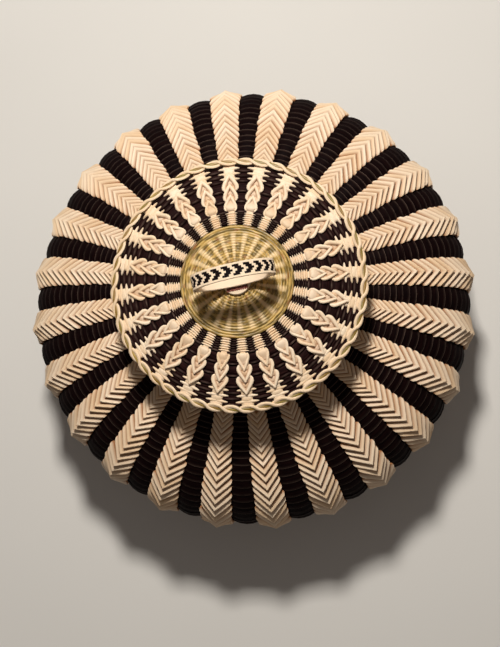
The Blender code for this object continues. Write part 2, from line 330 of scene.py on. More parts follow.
def make_dyed_ash(name, dark, brown):
    """Dyed ash splints, paler where a piece stores wear and painted highlight: slats' free edges,
    the middles of knots.
    """
    finish = Finish(name, 0.6, 0.03)
    grain = finish.drawn_noise(9.0, 900.0)
    grain_breakup = finish.smooth(grain + finish.attribute("tone") * 0.3, 0.25, 0.75)
    wear_and_highlight_share = finish.attribute("wear_and_highlight") * grain_breakup
    finish.feed("Roughness", 0.52 + grain * 0.18)
    return finish.finished(dye_colour(finish, grain, wear_and_highlight_share, dark, brown), grain, 0.00010)


def make_woven_ash():
    """The plain weave: natural and dyed splints crossing on one shell."""
    finish = Finish("woven_ash", 0.6, 0.05)
    grain = finish.drawn_noise(8.0, 1200.0)
    patch = finish.drawn_noise(5.0, 90.0)
    natural = ash_colour(finish, grain, patch, 0.35)
    dyed = dye_colour(finish, grain, finish.smooth(patch, 0.55, 0.8) * 0.18)
    both = finish.mix(finish.attribute("dyed"), natural, dyed)
    return finish.finished(both, grain, 0.00010)


def make_sweetgrass(name, olive, aging):
    """Dry sweetgrass: fine blades side by side, pale where they ride over a ray. That pale is
    partly paler straw, partly a painted highlight.

    aging turns more of its gold olive, and weakens its brown and its pale blades.
    """
    finish = Finish(name, 0.42, 0.5)
    angle, radius, z = finish.polar()
    blades = finish.noise(angle * 5.0, radius * 1100.0, finish.attribute("tone") * 20.0)
    patch = finish.noise(angle * 4.0, radius * 520.0, 3.0)
    aged = finish.noise(angle * 4.0, radius * 260.0, 7.0)
    body = finish.mix(finish.smooth(patch, 0.40 + aging, 0.62 + aging), olive, GRASS_GOLD)
    browned = finish.smooth(aged, 0.56 - aging, 0.72 - aging) * (0.6 - 2.0 * aging)
    body = finish.mix(browned, body, GRASS_BROWN)
    beams = finish.math("COSINE", (angle - LID_TURN) * COLUMNS)
    rays = finish.smooth(beams + patch * 0.9, -0.1, 1.5)
    rays = rays * finish.smooth(0.0335 - radius, 0.0, 0.003)
    rays = rays * (0.2 + 0.8 * finish.smooth(radius, 0.010, 0.019))
    # Pale blades and rays: partly paler straw, partly a painted highlight
    pale_blade_share = 0.45 * (1.0 - 2.0 * aging)
    pale = finish.math("MAXIMUM", finish.smooth(blades, 0.50, 0.80) * pale_blade_share, rays * 0.76)
    return finish.finished(finish.mix(pale, body, GRASS_PALE), blades, 0.00025, 0.7)


def make_plait():
    """The handle's band: natural and dyed cells along one ribbon."""
    finish = Finish("plaited_ash", 0.55, 0.08)
    along, across = finish.ribbon()
    grain = finish.noise(along * 3.0, across * 14.0, 0.0)
    patch = finish.noise(along * 2.0, across * 2.0, 5.0)
    natural = ash_colour(finish, grain, patch, 0.1)
    both = finish.mix(finish.attribute("dyed"), natural, dye_colour(finish, grain, 0.0))
    return finish.finished(both, grain, 0.00008)


def make_thread():
    """Waxed brown thread, with the twist of its plies."""
    finish = Finish("brown_thread", 0.45, 0.4)
    x, y, z = finish.place()
    ply = finish.math("SINE", (y + z * 1.4 + x * 0.8) * 7000.0)
    twist = finish.mix(finish.smooth(ply, -0.4, 0.8), THREAD_DARK, THREAD_BROWN)
    return finish.finished(twist, ply, 0.0001, 0.6)


FOLDED_ASH = make_folded_ash()
HOOP_ASH = make_hoop_ash()
DYED_ASH = make_dyed_ash("dyed_ash", DYE_DARK, DYE_BROWN)
LID_DYED_ASH = make_dyed_ash("lid_dyed_ash", LID_DYE_DARK, LID_DYE_BROWN)
WOVEN_ASH = make_woven_ash()
SWEETGRASS = make_sweetgrass("sweetgrass", GRASS_OLIVE, 0.0)
RIM_GRASS = make_sweetgrass("rim_sweetgrass", RIM_OLIVE, 0.15)
THREAD = make_thread()
PLAIT = make_plait()


# Mesh tools

def add_object(name, data):
    made = bpy.data.objects.new(name, data)
    bpy.context.scene.collection.objects.link(made)
    return made


def add_mesh(name, points, faces, finish=None):
    """A mesh object at the origin whose faces point outwards."""
    mesh = bpy.data.meshes.new(name)
    mesh.from_pydata(points, [], faces)
    bm = bmesh.new()
    bm.from_mesh(mesh)
    bmesh.ops.recalc_face_normals(bm, faces=bm.faces)
    bm.to_mesh(mesh)
    bm.free()
    if finish:
        mesh.materials.append(finish)
    return add_object(name, mesh)


def store(made, name, values, domain="POINT"):
    """Keep one number for each point or face of a piece."""
    layer = made.data.attributes.new(name, "FLOAT", domain)
    layer.data.foreach_set("value", values)


def store_vectors(mesh, name, values):
    layer = mesh.attributes.new(name, "FLOAT_VECTOR", "POINT")
    layer.data.foreach_set("vector", [part for value in values for part in value])


def store_ribbon(made, ribbons):
    """Keep where each point lies along and across its splint."""
    layer = made.data.uv_layers.new(name="ribbon")
    for loop, corner in zip(made.data.loops, layer.data):
        corner.uv = ribbons[loop.vertex_index]


def store_section(made, name, shares, strength=1.0):
    """Keep one number for each point of a loft's section, all along it."""
    count = len(made.data.vertices)
    store(made, name, [shares[k % len(shares)] * strength for k in range(count)])


def set_smooth(made, degrees):
    made.data.shade_smooth()
    made.data.set_sharp_from_angle(angle=radians(degrees))


def settle(made, body, slot, *nodes):
    """Say what a finished piece rides on and hide the nodes it stands for. Its slot is not used.
    """
    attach(made, body)
    if nodes:
        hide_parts(*nodes)


def join(made, *others):
    """Join further meshes into a piece, keeping its layers."""
    bpy.ops.object.select_all(action="DESELECT")
    for part in (made,) + others:
        part.select_set(True)
    bpy.context.view_layer.objects.active = made
    bpy.ops.object.join()
    return made


def drop(*made):
    """Take away shapes that were only there to be copied."""
    for shape in made:
        bpy.data.objects.remove(shape)


def evenly(low, high, count):
    """Numbers from low to high in equal steps."""
    return [low + (high - low) * k / count for k in range(count + 1)]


def turns(count):
    """Angles in equal steps once round the axis."""
    return [2 * pi * k / count for k in range(count)]


def around(angle, radius, z):
    """A point, or a direction, at an angle round the axis."""
    return (radius * cos(angle), radius * sin(angle), z)


def tube_faces(rounds, count, closed):
    """Faces between rounds of points, each with count points."""
    faces = []
    for k in range(rounds if closed else rounds - 1):
        n = (k + 1) % rounds
        for i in range(count):
            j = (i + 1) % count
            faces.append((k * count + i, k * count + j, n * count + j, n * count + i))
    return faces


class Track:
    """A smooth outline (radius, height) that can be read at any distance along it."""

    def __init__(self, line):
        self.line = line
        self.marks = [0.0]
        for first, second in pairwise(line):
            self.marks.append(self.marks[-1] + dist(first, second))
        self.length = self.marks[-1]
        self.last = 0

    def at(self, distance):
        """Radius, height, and the outward normal as (radial, up)."""
        if distance < self.marks[self.last]:
            self.last = 0
        while self.last < len(self.marks) - 2 and self.marks[self.last + 1] < distance:
            self.last += 1
        k = self.last
        (r0, z0), (r1, z1) = self.line[k], self.line[k + 1]
        span = self.marks[k + 1] - self.marks[k]
        share = (distance - self.marks[k]) / span
        return (r0 + (r1 - r0) * share, z0 + (z1 - z0) * share,
                (z0 - z1) / span, (r1 - r0) / span)

    def point(self, distance, angle, lift):
        """A point lifted off the surface by a height."""
        r, z, nr, nz = self.at(distance)
        return around(angle, r + nr * lift, z + nz * lift)


def wall_track():
    """The outside of the wall from the mouth down to the base."""
    steps = 90
    foot = acos(BASE_R / WIDEST_R)
    foot_semi_height = WIDEST_Z / sin(foot)
    line = [(NECK_R, MOUTH_Z)]
    for turn in evenly(acos(NECK_R / WIDEST_R), 0.0, steps):
        line.append((WIDEST_R * cos(turn), WIDEST_Z + SHOULDER_SEMI_HEIGHT * sin(turn)))
    for turn in evenly(0.0, foot, steps)[1:]:
        line.append((WIDEST_R * cos(turn), WIDEST_Z - foot_semi_height * sin(turn)))
    return Track(line)


def dome_height(radius):
    return LID_EDGE_Z + LID_DOME * (1 - (radius / LID_SHELL_R) ** 2)


WALL_TRACK = wall_track()
NECK_LENGTH = WALL_TRACK.marks[1]
LID_TRACK = Track([(r, dome_height(r)) for r in evenly(0.0002, LID_SHELL_R, 80)])


def lid_distance(radius):
    """Distance along the lid's track of a radius."""
    low, high = 0.0, LID_TRACK.length
    for _ in range(30):
        middle = (low + high) / 2
        if LID_TRACK.at(middle)[0] < radius:
            low = middle
        else:
            high = middle
    return low


# Geometry Nodes trees

def new_tree(name, inputs):
    """An empty tree that takes a guide and named inputs and gives pieces."""
    tree = bpy.data.node_groups.new(name, "GeometryNodeTree")
    tree.is_modifier = True
    for label, kind in (("Guide", "Geometry"), ("Finish", "Material")) + inputs:
        tree.interface.new_socket(label, in_out="INPUT", socket_type="NodeSocket" + kind)
    tree.interface.new_socket("Pieces", in_out="OUTPUT", socket_type="NodeSocketGeometry")
    return tree, add_node(tree, "NodeGroupInput").outputs


def close_tree(tree, pieces, finish):
    """Make the pieces real, dress them and give them out."""
    real = add_node(tree, "GeometryNodeRealizeInstances", {0: pieces})
    dressed = add_node(tree, "GeometryNodeSetMaterial", {"Geometry": real, "Material": finish})
    add_node(tree, "NodeGroupOutput", {"Pieces": dressed})
    return tree


def tree_math(tree, operation, first, second):
    return add_node(tree, "ShaderNodeMath", {0: first, 1: second}, operation=operation)


def tree_vector(tree, name):
    return add_node(tree, "GeometryNodeInputNamedAttribute", {"Name": name},
                    data_type="FLOAT_VECTOR")


def tree_random(tree, kind, values):
    return add_node(tree, "FunctionNodeRandomValue", values, data_type=kind).outputs


def scatter_tree():
    """Puts a splint on each point of the guide, along the axes stored there."""
    tree, given = new_tree("scattered_splints", (
        ("Shape", "Object"), ("Seed", "Int"), ("Turn Spread", "Float"),
        ("Size Spread", "Float")))
    facing = add_node(tree, "FunctionNodeAxesToRotation", {
        "Primary Axis": tree_vector(tree, "out"),
        "Secondary Axis": tree_vector(tree, "across")}, primary_axis="Z", secondary_axis="X")
    turn = tree_random(tree, "FLOAT_VECTOR", {
        "Min": tree_math(tree, "MULTIPLY", given["Turn Spread"], -1.0),
        "Max": given["Turn Spread"], "Seed": given["Seed"]})
    euler = add_node(tree, "FunctionNodeEulerToRotation", {0: turn["Value"]})
    rotation = add_node(tree, "FunctionNodeRotateRotation", {0: facing, 1: euler},
                        rotation_space="LOCAL")
    spread = tree_random(tree, "FLOAT_VECTOR", {
        "Min": tree_math(tree, "SUBTRACT", 1.0, given["Size Spread"]),
        "Max": tree_math(tree, "ADD", 1.0, given["Size Spread"]),
        "Seed": tree_math(tree, "ADD", given["Seed"], 1.0)})
    size = add_node(tree, "ShaderNodeVectorMath", {
        0: tree_vector(tree, "size"), 1: spread["Value"]}, operation="MULTIPLY")
    shape = add_node(tree, "GeometryNodeObjectInfo", {"Object": given["Shape"]},
                     transform_space="ORIGINAL")
    placed = add_node(tree, "GeometryNodeInstanceOnPoints", {
        "Points": given["Guide"], "Instance": shape.outputs["Geometry"],
        "Rotation": rotation, "Scale": size})
    tone = tree_random(tree, "FLOAT", {"Seed": given["Seed"]})
    toned = add_node(tree, "GeometryNodeStoreNamedAttribute", {
        "Geometry": placed, "Name": "tone", "Value": tone[1]},
        domain="INSTANCE", data_type="FLOAT")
    return close_tree(tree, toned, given["Finish"])


def sweep_tree():
    """Draws a strand along each line of the guide, its flat side facing "out"."""
    tree, given = new_tree("swept_strands", (
        ("Width", "Float"), ("Thickness", "Float"), ("Sides", "Int")))
    curve = add_node(tree, "GeometryNodeMeshToCurve", {"Mesh": given["Guide"]})
    facing = add_node(tree, "GeometryNodeSetCurveNormal", {
        "Curve": curve, "Normal": tree_vector(tree, "out")}, mode="FREE")
    circle = add_node(tree, "GeometryNodeCurvePrimitiveCircle", {
        "Resolution": given["Sides"], "Radius": 0.5}, mode="RADIUS")
    shape = add_node(tree, "ShaderNodeCombineXYZ", {
        "X": given["Thickness"], "Y": given["Width"], "Z": 1.0})
    profile = add_node(tree, "GeometryNodeTransform", {"Geometry": circle, "Scale": shape})
    swept = add_node(tree, "GeometryNodeCurveToMesh", {
        "Curve": facing, "Profile Curve": profile, "Fill Caps": True})
    return close_tree(tree, swept, given["Finish"])


SCATTER = scatter_tree()
SWEEP = sweep_tree()


def run_tree(guide, tree, inputs):
    """Grow the tree's pieces on the guide, as its plain mesh."""
    sockets = {item.name: item.identifier for item in tree.interface.items_tree
               if item.in_out == "INPUT"}
    grower = guide.modifiers.new("grower", "NODES")
    grower.node_group = tree
    for label, value in inputs.items():
        grower[sockets[label]] = value
    bpy.context.view_layer.update()
    graph = bpy.context.evaluated_depsgraph_get()
    grown = bpy.data.meshes.new_from_object(
        guide.evaluated_get(graph), preserve_all_data_layers=True, depsgraph=graph)
    guide.modifiers.remove(grower)
    guide.data = grown
    return guide


def scatter(name, shape, places, finish, seed, turn_spread=0.0, size_spread=0.0):
    """Copies of a shape. Each place is (point, across, out, size)."""
    guide = add_mesh(name, [place[0] for place in places], [])
    for column, label in ((1, "across"), (2, "out"), (3, "size")):
        store_vectors(guide.data, label, [place[column] for place in places])
    return run_tree(guide, SCATTER, {"Shape": shape, "Finish": finish, "Seed": seed,
                                     "Turn Spread": turn_spread, "Size Spread": size_spread})


def sweep(name, lines, closed, width, thickness, finish):
    """Strands along lines. Each line is a list of (point, out)."""
    mesh = bpy.data.meshes.new(name)
    points, edges, outs, tones = [], [], [], []
    shades = random.Random(SEED)
    for line in lines:
        first = len(points)
        points += [point for point, out in line]
        outs += [out for point, out in line]
        tones += [shades.random()] * len(line)
        edges += [(k, k + 1) for k in range(first, len(points) - 1)]
        if closed:
            edges.append((len(points) - 1, first))
    mesh.from_pydata(points, edges, [])
    store_vectors(mesh, "out", outs)
    guide = add_object(name, mesh)
    store(guide, "tone", tones)
    run_tree(guide, SWEEP, {"Width": width, "Thickness": thickness, "Sides": 8,
                            "Finish": finish})
    set_smooth(guide, 50)
    return guide


# Shapes of single splints, in units of their half-width

def loft(name, sections, sharp=60):
    """A closed form through sections of equally many points."""
    count = len(sections[0])
    points = [point for section in sections for point in section]
    caps = [tuple(range(count)), tuple(range(len(points) - count, len(points)))]
    made = add_mesh(name, points, caps + tube_faces(len(sections), count, False))
    runs = [0.0]
    for before, after in pairwise(sections):
        runs.append(runs[-1] + dist(before[0], after[0]))
    store_ribbon(made, [(run, k / count) for run in runs for k in range(count)])
    set_smooth(made, sharp)
    return made


def folded_point():
    """A splint folded to a point: two flaps that meet at a ridge, tip at Y = 0.

    Y grows towards the mouth. The free edge is a thick fold, and the flaps
    fall away behind it to where the row above holds them.
    """
    half = ((0.0, 1.0), (0.30, 1.0), (0.60, 1.0), (0.86, 1.0), (0.98, 0.80), (1.05, 0.42))
    sections = []
    for side, full in [(-t, full) for t, full in reversed(half[1:])] + list(half):
        t = abs(side)
        y = POINT_LEAD * t
        z = POINT_RISE + (0.22 - POINT_RISE) * t
        depth = 0.82 - 0.40 * max(0.0, (t - 0.6) / 0.45)
        fall = 0.46 - 0.22 * t
        section = ((0.00, -0.15), (-0.10, -0.06), (-0.03, 0.055), (0.08, 0.080),
                   (0.24, 0.010), (0.42, -0.13), (0.50, -0.19), (depth, -fall),
                   (depth, -fall - 0.07))
        sections.append([(side, y + 0.12 + (dy - 0.12) * full, z - 0.04 + (dz + 0.04) * full)
                         for dy, dz in section])
    made = loft("folded_point", sections, 38)
    # Painted shade under the free edge and on the flaps where they fall away behind it
    store_section(made, "painted_shade", (1.0, 0.9, 0.02, 0.0, 0.06, 0.62, 1.0, 1.0, 1.0))
    return made


def dyed_slat():
    """A slat of a dyed panel, bowed outwards, its lower edge raised and pale, partly from wear,
    partly a painted highlight.
    """
    profile = ((1.45, -0.06), (0.30, -0.06), (0.0, 0.0), (-0.03, 0.075),
               (0.08, 0.105), (0.30, 0.07), (1.45, 0.0))
    sections = [[(x, y, z - 0.314 * x * x) for y, z in profile]
                for x in (-1.0, -0.72, -0.38, 0.0, 0.38, 0.72, 1.0)]
    made = loft("dyed_slat", sections, 50)
    store_section(made, "wear_and_highlight", (0.0, 0.0, 0.10, 1.0, 0.15, 0.0, 0.0))
    return made


# Bars: how much painted highlight their middle gets, and (x, width, height) from the middle to one
# end
BARS = {
    "blunt": (0.75, ((0.0, 1.0, 1.0), (0.5, 1.0, 0.95), (0.85, 0.96, 0.75),
                     (0.97, 0.80, 0.45), (1.0, 0.55, 0.2))),
    "plain": (0.0, ((0.0, 1.0, 1.0), (0.6, 1.0, 0.95), (1.0, 0.9, 0.5))),
    "pointed": (0.45, ((0.0, 1.0, 0.9), (0.45, 1.0, 1.0), (0.72, 0.88, 0.9),
                       (0.92, 0.50, 0.6), (1.0, 0.12, 0.3))),
    "spiked": (0.0, ((0.0, 1.0, 0.8), (0.44, 1.0, 1.0), (0.52, 0.80, 1.0),
                     (0.78, 0.58, 0.85), (0.93, 0.36, 0.6), (1.0, 0.14, 0.3))),
}


def pillow_bar(kind):
    """A short splint where it passes over another."""
    wear_and_highlight_share, outline = BARS[kind]
    ends = [(-x, width, height) for x, width, height in reversed(outline[1:])]
    section = ((-0.5, -0.5), (-0.46, 0.05), (-0.22, 0.42), (0.0, 0.5),
               (0.22, 0.42), (0.46, 0.05), (0.5, -0.5))
    sections = [[(x, dy * width, (dz + 0.5) * height - 0.5) for dy, dz in section]
                for x, width, height in ends + list(outline)]
    made = loft(kind + "_bar", sections)
    # Painted highlight along the middle of the bar's top, fading towards its ends
    across = (0.0, 0.0, 0.7, 1.0, 0.7, 0.0, 0.0)
    store(made, "wear_and_highlight", [across[k % 7] * wear_and_highlight_share * max(0.0, 1.0 - 1.5 * abs(vertex.co.x))
                         for k, vertex in enumerate(made.data.vertices)])
    return made


# Tongues of the lid's folds: (y, half-width, height, painted shade) from the tip to the heads
HEART = ((0.16, 0.03, 0.08, 0.6), (0.50, 0.26, 0.15, 0.6), (0.90, 0.52, 0.25, 0.5),
         (1.25, 0.70, 0.36, 0.3), (1.55, 0.76, 0.42, 0.2), (1.80, 0.70, 0.40, 0.12),
         (1.98, 0.55, 0.28, 0.1), (2.06, 0.42, 0.04, 0.1))
OPEN_LEAF = ((0.28, 0.06, 0.02, 0.2), (0.55, 0.22, 0.10, 0.3), (0.85, 0.42, 0.14, 0.6),
             (1.10, 0.55, 0.15, 0.9), (1.42, 0.62, 0.15, 1.0), (1.65, 0.58, 0.12, 1.0),
             (1.90, 0.35, 0.02, 1.0))


def leaf_tongue(stations):
    """The splint between a leaf's lobes."""
    sections, shades = [], []
    for y, half, top, dark in stations:
        sections.append([(x * half, y, z) for x, z in (
            (-1.0, -0.12), (-1.0, top - 0.08), (-0.6, top), (0.0, top + 0.02), (0.6, top),
            (1.0, top - 0.08), (1.0, -0.12))])
        # Painted shade across the tongue, darkest at its sides
        shades += [dark * share for share in (1.0, 1.0, 0.8, 0.7, 0.8, 1.0, 1.0)]
    made = loft("leaf_tongue", sections)
    store(made, "painted_shade", shades)
    return made


def folded_leaf(plump, depth, stations):
    """A lid splint folded to a leaf: two lobes that meet at a raised tip.

    The tip is at Y = 0 and the round heads lie towards the lid's centre.
    plump is how much of each half its lobe fills, depth how much painted shade its folds get.
    """
    spine = ((0.06, 0.03, 0.50, 0.24), (0.27, 0.30, 0.50, 0.30), (0.50, 0.62, 0.48, 0.35),
             (0.72, 0.95, 0.44, 0.40), (0.92, 1.27, 0.38, 0.43), (1.02, 1.55, 0.31, 0.45),
             (0.99, 1.77, 0.25, 0.42), (0.86, 1.94, 0.19, 0.34), (0.66, 2.03, 0.13, 0.18))
    spine = [(outer - half * plump, y, z, half * plump) for outer, y, z, half in spine]
    section = ((-0.6, -0.66), (-1.0, -0.56), (-0.92, -0.40), (-0.68, -0.16), (-0.36, 0.08),
               (0.0, 0.22), (0.42, 0.28), (0.80, 0.16), (1.0, -0.10), (0.80, -0.42))
    lobes = []
    for side in (-1.0, 1.0):
        sections = []
        for k, (x, y, z, half) in enumerate(spine):
            before = spine[max(k - 1, 0)]
            after = spine[min(k + 1, len(spine) - 1)]
            run = Vector((after[0] - before[0], after[1] - before[1])).normalized()
            thick = max(half, 0.16) * 1.1
            sections.append([(side * (x + run.y * o * half), y - run.x * o * half,
                              z + dz * thick) for o, dz in section])
        lobe = loft("folded_leaf", sections)
        # Painted shade on each lobe's inner side and underside
        store_section(lobe, "painted_shade", (1.0, 1.0, 0.9, 0.5, 0.1, 0.0, 0.0, 0.0, 0.1, 0.6), depth)
        lobes.append(lobe)
    return join(*lobes, leaf_tongue(stations))


# Body

def body_marks():
    """Distances down the wall where the rows of folded points start."""
    mark = NECK_LENGTH + COLUMN_TOP_MARGIN
    marks = [mark]
    while mark < WALL_TRACK.length - COLUMN_FOOT_MARGIN:
        grown = min((mark - marks[0]) / PITCH_RUN, 1.0)
        mark += TOP_ROW_PITCH + (ROW_PITCH - TOP_ROW_PITCH) * grown
        marks.append(mark)
    return marks


ROW_MARKS = body_marks()


def spot(angle, r, z, nr, nz, sizes):
    """A place for scatter(), facing (radial, up)."""
    across = (-sin(angle), cos(angle), 0.0)
    return around(angle, r, z), across, around(angle, nr, nz), sizes


def spot_on(track, distance, angle, lift, sizes):
    """A place for scatter() lifted off a track."""
    r, z, nr, nz = track.at(distance)
    return spot(angle, r + nr * lift, z + nz * lift, nr, nz, sizes)


def make_folded_points():
    """Rows of points that run straight from tip to under the row above."""
    flat = cos(HALF_COLUMN)
    places = []
    for end in ROW_MARKS[1:]:
        half = WALL_TRACK.at(end)[0] * sin(HALF_COLUMN)
        foot = end + TIP_LEAD * half
        r, z = WALL_TRACK.at(foot)[:2]
        back_r, back_z = WALL_TRACK.at(foot - POINT_LEAD * half)[:2]
        dr, dz = (back_r - r) * flat, back_z - z
        run = hypot(dr, dz)
        places += [spot(k * PITCH, r * flat, z, dz / run, -dr / run, (half, half, half))
                   for k in range(COLUMNS)]
    shape = folded_point()
    made = scatter("folded_points", shape, places, FOLDED_ASH, SEED,
                   turn_spread=0.035, size_spread=0.03)
    drop(shape)
    columns = [f"point_column_{k + 1:02d}" for k in range(COLUMNS)]
    settle(made, "basket", "natural_ash", *columns)


def make_dyed_slats():
    """Panels of slats that follow the rows of points and go on down to the foot."""
    marks = list(ROW_MARKS)
    while marks[-1] + ROW_PITCH < WALL_TRACK.length - PANEL_FOOT_MARGIN:
        marks.append(marks[-1] + ROW_PITCH)
    places = []
    for start, end in pairwise(marks):
        r = WALL_TRACK.at(end)[0]
        half = r * sin(HALF_SLAT)
        for k in range(COLUMNS):
            places.append(spot_on(WALL_TRACK, end, (k + 0.5) * PITCH,
                                  r * PANEL_BULGE - SLAT_SEAT, (half, end - start, half)))
    shape = dyed_slat()
    made = scatter("dyed_slats", shape, places, DYED_ASH, SEED + 1,
                   turn_spread=0.012, size_spread=0.03)
    drop(shape)
    settle(made, "basket", "dyed_ash")


def weave_lift(row, across, cell, along, relief):
    """Height of a plain weave: rows pass over and under the standards."""
    over = 1.0 if (row + cell) % 2 == 0 else WEFT_DIP
    return relief * over * sin(pi * along) * (0.6 + 0.4 * sin(pi * across))


def woven_shell(name, sides, caps=(), bow=lambda height: 0.0):
    """A closed woven form turned about the axis, down the outside and up the inside.

    Each of the two sides is (track, stops, lift, relief, tones): stops are the
    distances where rows meet, lift and relief set the surface off the track, and
    tones says how dyed the crossing splints are. caps has (height, tone) for ends
    that close on the axis, and bow is how far panels swell out at a height, as a
    share of the radius.
    """
    steps = 4
    count = 2 * COLUMNS * steps
    points, rings = [], []
    for side, (track, stops, lift, relief, tones) in enumerate(sides):
        parts = 3 if relief else 1
        sense = -1.0 if side else 1.0
        lines = [(row, part / parts, low + (high - low) * part / parts)
                 for row, (low, high) in enumerate(pairwise(stops))
                 for part in range(parts)]
        lines.append((len(stops) - 2, 1.0, stops[-1]))
        if side:
            lines.reverse()
        for row, along, distance in lines:
            radius, height = track.at(distance)[:2]
            for k, angle in enumerate(turns(count)):
                cell, part = divmod(k, steps)
                share = part / steps
                rise = weave_lift(row, share, cell, along, relief)
                swell = 4 * share * (1 - share) * radius * (bow(height) if cell % 2 else 0.0)
                x, y, z = track.point(distance, angle - HALF_COLUMN,
                                      lift + swell + sense * rise)
                points.append((x, y, max(z, 0.0)))
            rings.append((row, tones))
    faces = tube_faces(len(rings), count, not caps)
    dyes = []
    for row, tones in rings[1:]:
        for k in range(count):
            tooth = k % steps == steps - 1 and row % 2 == 0
            dyes.append(tones[(k // steps + tooth) % 2])
    for (height, tone), first in zip(caps, (0, len(points) - count)):
        for k in range(count):
            faces.append((first + k, first + (k + 1) % count, len(points)))
        points.append((0.0, 0.0, height))
        dyes += [tone] * count
    dyes += [0.0] * (len(faces) - len(dyes))
    made = add_mesh(name, points, faces, WOVEN_ASH)
    store(made, "dyed", dyes, "FACE")
    set_smooth(made, 60)
    return made


def make_wall():
    """The woven wall, with the neck and the foot in fine rows."""
    neck = evenly(0.0, NECK_LENGTH, NECK_ROWS)
    stops = neck + [mark for mark in ROW_MARKS if mark > NECK_LENGTH + 0.001]
    while stops[-1] + FOOT_ROW < WALL_TRACK.length - 0.5 * FOOT_ROW:
        stops.append(stops[-1] + FOOT_ROW)
    stops.append(WALL_TRACK.length)
    shoulder_z = WALL_TRACK.at(NECK_LENGTH)[1]

    def bow(height):
        fade = (shoulder_z + BULGE_START - height) / BULGE_START
        return PANEL_BULGE * min(max(fade, 0.0), 1.0)

    sides = ((WALL_TRACK, stops, -WALL_SEAT, WEAVE_RELIEF, (0.0, 1.0)),
             (WALL_TRACK, evenly(0.0, WALL_TRACK.length, INSIDE_ROWS),
              -WALL + WEAVE_RELIEF, WEAVE_RELIEF, (1.0, 0.0)))
    made = woven_shell("woven_wall", sides, bow=bow)
    settle(made, "basket", "natural_ash", "wall_weave")


def turned(name, section, finish):
    """A ring turned about Z from a closed section of (radius, height)."""
    steps = 120
    points = [around(angle, r, z) for angle in turns(steps) for r, z in section]
    made = add_mesh(name, points, tube_faces(steps, len(section), True), finish)
    set_smooth(made, 50)
    return made


def hoop_section(inner, outer, low, high, bevel):
    """A hoop's rectangular section with its corners eased."""
    return [(inner + bevel, low), (outer - bevel, low), (outer, low + bevel),
            (outer, high - bevel), (outer - bevel, high), (inner + bevel, high),
            (inner, high - bevel), (inner, low + bevel)]


def make_hoop(name, body, node, inner, outer, low, high):
    """A hoop of bent ash that stands for a node."""
    made = turned(name, hoop_section(inner, outer, low, high, 0.0004), HOOP_ASH)
    settle(made, body, "natural_ash", node)


def make_mouth():
    """Two hoops that clamp the wall's edge, lashed together."""
    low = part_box("mouth_hoop_outer")[0].z
    outer_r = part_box("mouth_hoop_outer")[1].x
    inner_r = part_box("mouth_hoop_inner")[1].x
    top = MOUTH_Z - 0.0007
    make_hoop("mouth_hoop_outer_ash", "basket", "mouth_hoop_outer",
              NECK_R + 0.0001, outer_r - 0.0003, low, top)
    make_hoop("mouth_hoop_inner_ash", "basket", "mouth_hoop_inner",
              inner_r - 0.0018, inner_r - 0.0001, low, top)
    # (share of its lean, radius, height, turn of its face) over the two hoops
    path = ((0.00, outer_r - 0.0001, low - 0.0006, 0.0), (0.25, outer_r, low + 0.002, 0.0),
            (0.45, outer_r, top - 0.0008, 0.3), (0.50, outer_r - 0.0006, top + 0.0002, 1.0),
            (0.58, (outer_r + inner_r) / 2, top + 0.00035, 1.57),
            (0.66, inner_r - 0.0014, top + 0.0002, 2.2),
            (0.75, inner_r - 0.0021, top - 0.0009, 2.9), (1.0, inner_r - 0.0021, low, 3.14))
    lines = []
    for wrap in range(2 * COLUMNS):
        spots = [((wrap + 0.5 + 0.55 * share) * PITCH / 2, *rest) for share, *rest in path]
        lines.append([(around(angle, r, z), around(angle, cos(facing), sin(facing)))
                      for angle, r, z, facing in spots])
    lashing = sweep("mouth_lashing", lines, False, LASHING_WIDTH, LASHING_THICK, HOOP_ASH)
    settle(lashing, "basket", "natural_ash")


def make_base():
    """The plaited base: spokes of ash crossed by rings of weft."""
    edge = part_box("base_disc")[1].x
    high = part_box("base_disc")[1].z
    stops = evenly(BASE_HUB_R, edge, BASE_ROWS)
    tones = (0.0, BASE_WEFT_TONE)
    sides = ((Track([(0.0001, high), (edge, high)]), stops, -WEAVE_RELIEF, WEAVE_RELIEF, tones),
             (Track([(0.0001, 0.0), (edge, 0.0)]), stops, WEAVE_RELIEF, WEAVE_RELIEF, tones))
    caps = ((high - WEAVE_RELIEF, 0.0), (WEAVE_RELIEF, 0.0))
    settle(woven_shell("woven_base", sides, caps), "basket", "natural_ash", "base_disc")


# Lid

def make_lid_shell():
    """The lid's closed shell. Its weave shows on the underside."""
    relief = 0.0005
    stops = evenly(0.0, LID_TRACK.length, LID_ROWS)
    top, bottom = -0.0003, -LID_THICK + relief
    sides = ((LID_TRACK, stops, top, 0.0, (1.0, 1.0)),
             (LID_TRACK, stops, bottom, relief, (0.0, 1.0)))
    caps = [(LID_TRACK.point(0.0, 0.0, lift)[2], tone)
            for lift, tone in ((top, 1.0), (bottom, 0.0))]
    settle(woven_shell("lid_shell", sides, caps), "lid", "dyed_ash", "lid_weave")


def lid_bars(rings, degrees, width, centre, lift, thick, jitter=0.0):
    """Places for a bar in every column, or panel, of some rings.

    degrees and width are the bars' sizes along the rings and across them, and
    are used in turn, ring by ring.
    """
    draws = random.Random(SEED)
    places = []
    for row, radius in enumerate(rings):
        distance = lid_distance(radius)
        half = radius * sin(radians(degrees[row % len(degrees)]))
        sizes = (half, width[row % len(width)], thick)
        for k in range(COLUMNS):
            angle = LID_TURN + (k + centre) * PITCH + jitter * draws.uniform(-1.0, 1.0)
            places.append(spot_on(LID_TRACK, distance, angle, lift, sizes))
    return places


